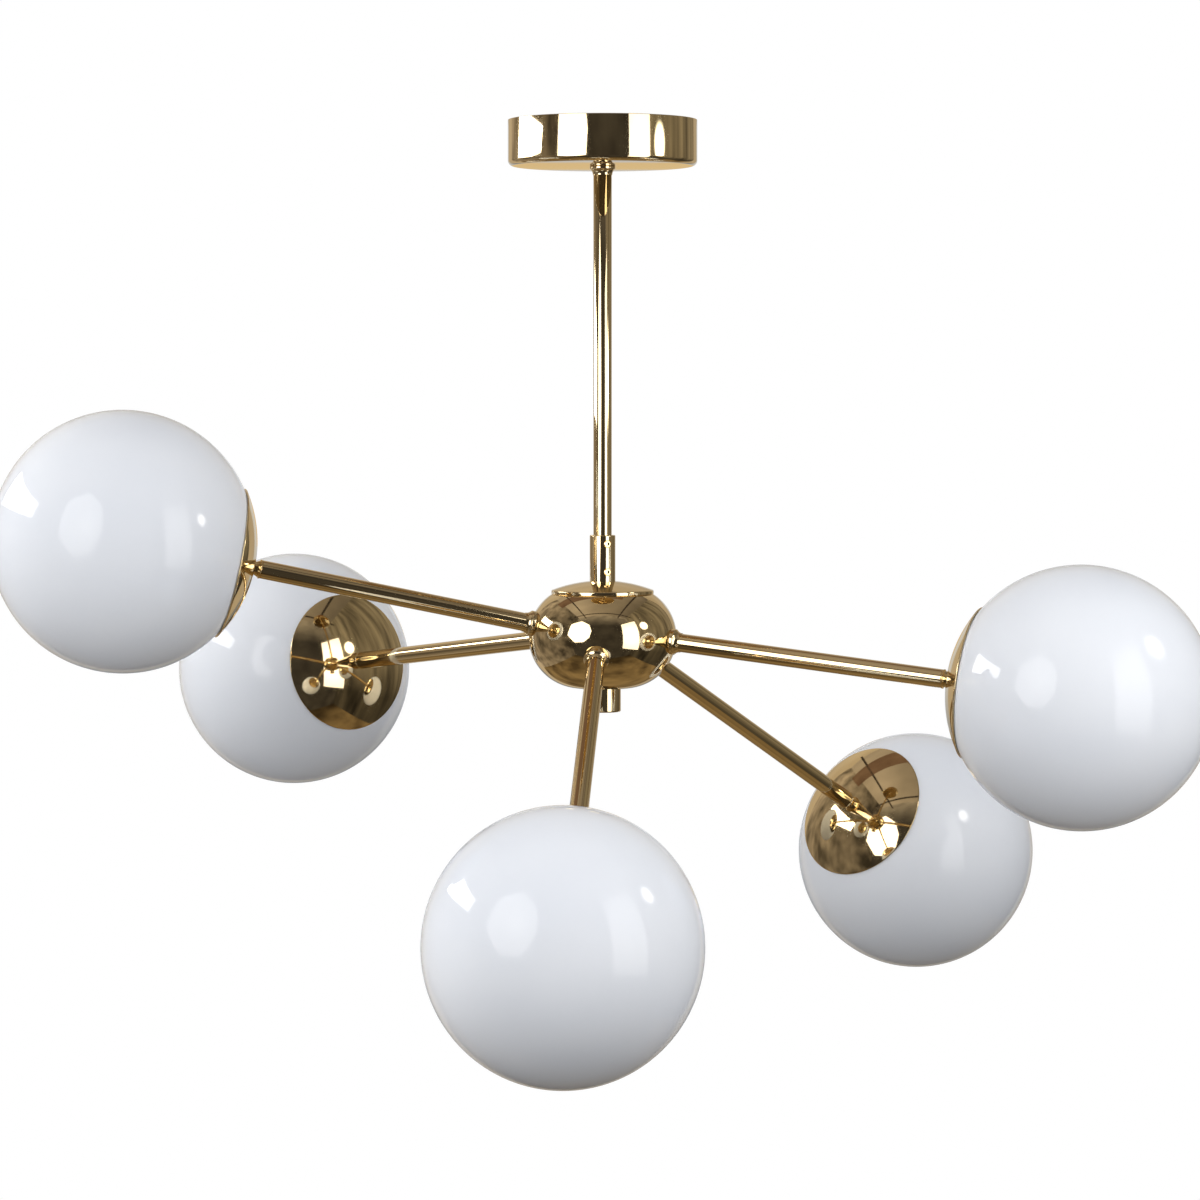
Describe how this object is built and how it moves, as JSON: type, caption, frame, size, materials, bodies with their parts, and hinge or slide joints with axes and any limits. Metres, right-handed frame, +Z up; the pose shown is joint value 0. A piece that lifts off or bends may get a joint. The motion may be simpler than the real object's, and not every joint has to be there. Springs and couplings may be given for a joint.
{
  "type": "ceiling light",
  "caption": "Ceiling light: a canopy and straight stem carry a squat round hub, whose tube arms at mixed angles hold round opal glass shades in shallow polished caps.",
  "frame": {"origin": "centre of the canopy and of the two ceiling screw slots, on the ceiling", "axes": "+Z up into the ceiling, so the light hangs down to -Z; -Y is the side seen from the front and +X is to the right"},
  "size_m": [0.6456, 0.6092, 0.4915],
  "materials": {
    "brass": "polished",
    "zinc_steel": "zinc plated",
    "spring_steel": "bright rolled",
    "opal_glass": "gloss",
    "lamp_glass": "frosted",
    "ceramic": "glazed",
    "terminal_plastic": "moulded"
  },
  "bodies": {
    "mount": {"ceiling_bracket": "zinc_steel", "earth_screw": "zinc_steel", "terminal_block": "terminal_plastic", "terminal_screws": "zinc_steel", "stem_nuts": "zinc_steel", "stem": "brass"},
    "canopy": {"canopy": "brass", "canopy_collar": "brass", "collar_screw": "brass"},
    "hub": {"sleeve": "brass", "sleeve_screws": "brass", "hub_lid": "brass", "hub_bowl": "brass", "tie_rod": "zinc_steel", "rod_nuts": "zinc_steel", "finial": "brass", "arm_nuts": "zinc_steel", "arm_tube_left_front": "brass", "arm_tube_left_rear": "brass", "arm_tube_front": "brass", "arm_tube_right_rear": "brass", "arm_tube_right_front": "brass", "arm_flange_left_front": "brass", "arm_flange_left_rear": "brass", "arm_flange_front": "brass", "arm_flange_right_rear": "brass", "arm_flange_right_front": "brass", "arm_neck_left_front": "brass", "arm_neck_left_rear": "brass", "arm_neck_front": "brass", "arm_neck_right_rear": "brass", "arm_neck_right_front": "brass", "cap_left_front": "brass", "cap_left_rear": "brass", "cap_front": "brass", "cap_right_rear": "brass", "cap_right_front": "brass", "glass_clip_left_front": "spring_steel", "glass_clip_left_rear": "spring_steel", "glass_clip_front": "spring_steel", "glass_clip_right_rear": "spring_steel", "glass_clip_right_front": "spring_steel", "lampholder_left_front": "ceramic", "lampholder_left_rear": "ceramic", "lampholder_front": "ceramic", "lampholder_right_rear": "ceramic", "lampholder_right_front": "ceramic"},
    "shade_left_front": {"globe_left_front": "opal_glass"},
    "shade_left_rear": {"globe_left_rear": "opal_glass"},
    "shade_front": {"globe_front": "opal_glass"},
    "shade_right_rear": {"globe_right_rear": "opal_glass"},
    "shade_right_front": {"globe_right_front": "opal_glass"},
    "lamp_left_front": {"bulb_left_front": "lamp_glass"},
    "lamp_left_rear": {"bulb_left_rear": "lamp_glass"},
    "lamp_front": {"bulb_front": "lamp_glass"},
    "lamp_right_rear": {"bulb_right_rear": "lamp_glass"},
    "lamp_right_front": {"bulb_right_front": "lamp_glass"}
  },
  "joints": [
    {"name": "canopy_slide", "type": "slide", "parent": "mount", "child": "canopy", "axis": [0, 0, -1], "range_m": [0, 0.185]},
    {"name": "hub_turn", "type": "hinge", "parent": "mount", "child": "hub", "pos_m": [0, 0, -0.24], "axis": [0, 0, 1], "range_deg": [-180, 180]},
    {"name": "globe_slide_left_front", "type": "slide", "parent": "hub", "child": "shade_left_front", "axis": [-0.9518, -0.2285, 0.2045], "range_m": [0, 0.09]},
    {"name": "globe_slide_left_rear", "type": "slide", "parent": "hub", "child": "shade_left_rear", "axis": [-0.6046, 0.7879, -0.1167], "range_m": [0, 0.09]},
    {"name": "globe_slide_front", "type": "slide", "parent": "hub", "child": "shade_front", "axis": [-0.0715, -0.817, -0.5721], "range_m": [0, 0.09]},
    {"name": "globe_slide_right_rear", "type": "slide", "parent": "hub", "child": "shade_right_rear", "axis": [0.6022, 0.6457, -0.4695], "range_m": [0, 0.09]},
    {"name": "globe_slide_right_front", "type": "slide", "parent": "hub", "child": "shade_right_front", "axis": [0.9369, -0.3318, -0.1097], "range_m": [0, 0.09]},
    {"name": "bulb_slide_left_front", "type": "slide", "parent": "hub", "child": "lamp_left_front", "axis": [-0.9518, -0.2285, 0.2045], "range_m": [0, 0.012]},
    {"name": "bulb_slide_left_rear", "type": "slide", "parent": "hub", "child": "lamp_left_rear", "axis": [-0.6046, 0.7879, -0.1167], "range_m": [0, 0.012]},
    {"name": "bulb_slide_front", "type": "slide", "parent": "hub", "child": "lamp_front", "axis": [-0.0715, -0.817, -0.5721], "range_m": [0, 0.012]},
    {"name": "bulb_slide_right_rear", "type": "slide", "parent": "hub", "child": "lamp_right_rear", "axis": [0.6022, 0.6457, -0.4695], "range_m": [0, 0.012]},
    {"name": "bulb_slide_right_front", "type": "slide", "parent": "hub", "child": "lamp_right_front", "axis": [0.9369, -0.3318, -0.1097], "range_m": [0, 0.012]}
  ]
}
